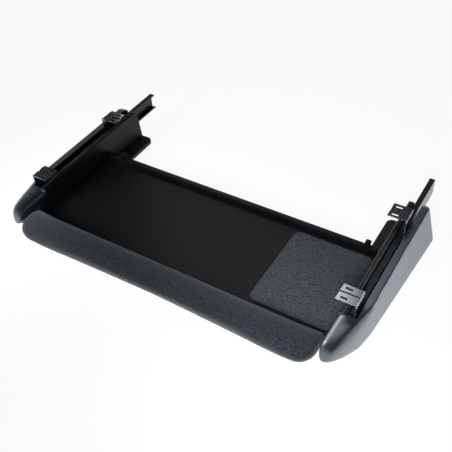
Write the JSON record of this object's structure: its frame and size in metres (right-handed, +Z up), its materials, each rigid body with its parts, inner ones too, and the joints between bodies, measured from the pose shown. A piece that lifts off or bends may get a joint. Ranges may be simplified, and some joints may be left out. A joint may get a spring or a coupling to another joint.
{
  "type": "sliding keyboard tray",
  "caption": "Keyboard tray that hangs under a desk on two ball-bearing slides, with moulded side housings, a padded wrist rest, a mouse mat and cord hooks.",
  "frame": {"origin": "on the desk's underside, at the centre of the eight screw slots", "axes": "+X to the right of a seated user, +Y to the wall, +Z up"},
  "size_m": [0.7616, 0.4877, 0.101],
  "materials": {
    "painted_steel": "black powder paint on rolled sheet steel",
    "zinc": "bright zinc plate",
    "ball_steel": "polished bearing steel",
    "housing_plastic": "satin charcoal moulded plastic",
    "tray_plastic": "fine-grained black moulded plastic",
    "mat_foam": "grained dark grey foam mat",
    "pad_fabric": "close-knit dark grey cover over foam",
    "bumper_rubber": "black rubber"
  },
  "bodies": {
    "desk_mount": {"desk_rail_left": "painted_steel", "desk_rail_right": "painted_steel", "front_bracket_left": "painted_steel", "front_bracket_right": "painted_steel", "rear_bracket_left": "painted_steel", "rear_bracket_right": "painted_steel", "bracket_rivets": "zinc"},
    "ball_cage_left": {"ball_retainer_left": "zinc", "bearing_balls_left": "ball_steel"},
    "ball_cage_right": {"ball_retainer_right": "zinc", "bearing_balls_right": "ball_steel"},
    "drawer": {"drawer_rail_left": "painted_steel", "drawer_rail_right": "painted_steel", "drawer_rail_screws": "zinc", "side_panel_left": "tray_plastic", "side_panel_right": "tray_plastic", "side_cover_left": "housing_plastic", "side_cover_right": "housing_plastic", "cover_screws": "zinc", "stop_bumper_left": "bumper_rubber", "stop_bumper_right": "bumper_rubber", "tray_panel": "tray_plastic", "tray_screws": "zinc", "rear_bar": "tray_plastic", "cord_hook_left": "tray_plastic", "cord_hook_right": "tray_plastic", "mouse_mat": "mat_foam", "wrist_rest_base": "tray_plastic", "wrist_rest_pad": "pad_fabric", "wrist_rest_screws": "zinc"}
  },
  "joints": [
    {"name": "drawer_slide", "type": "slide", "parent": "desk_mount", "child": "drawer", "axis": [0, -1, 0], "range_m": [0, 0.21]},
    {"name": "cage_left_slide", "type": "slide", "parent": "desk_mount", "child": "ball_cage_left", "axis": [0, -1, 0], "range_m": [0, 0.105]},
    {"name": "cage_right_slide", "type": "slide", "parent": "desk_mount", "child": "ball_cage_right", "axis": [0, -1, 0], "range_m": [0, 0.105]}
  ],
  "couplings": [
    {"joint": "cage_left_slide", "follows": "drawer_slide", "ratio": 0.5},
    {"joint": "cage_right_slide", "follows": "drawer_slide", "ratio": 0.5}
  ]
}
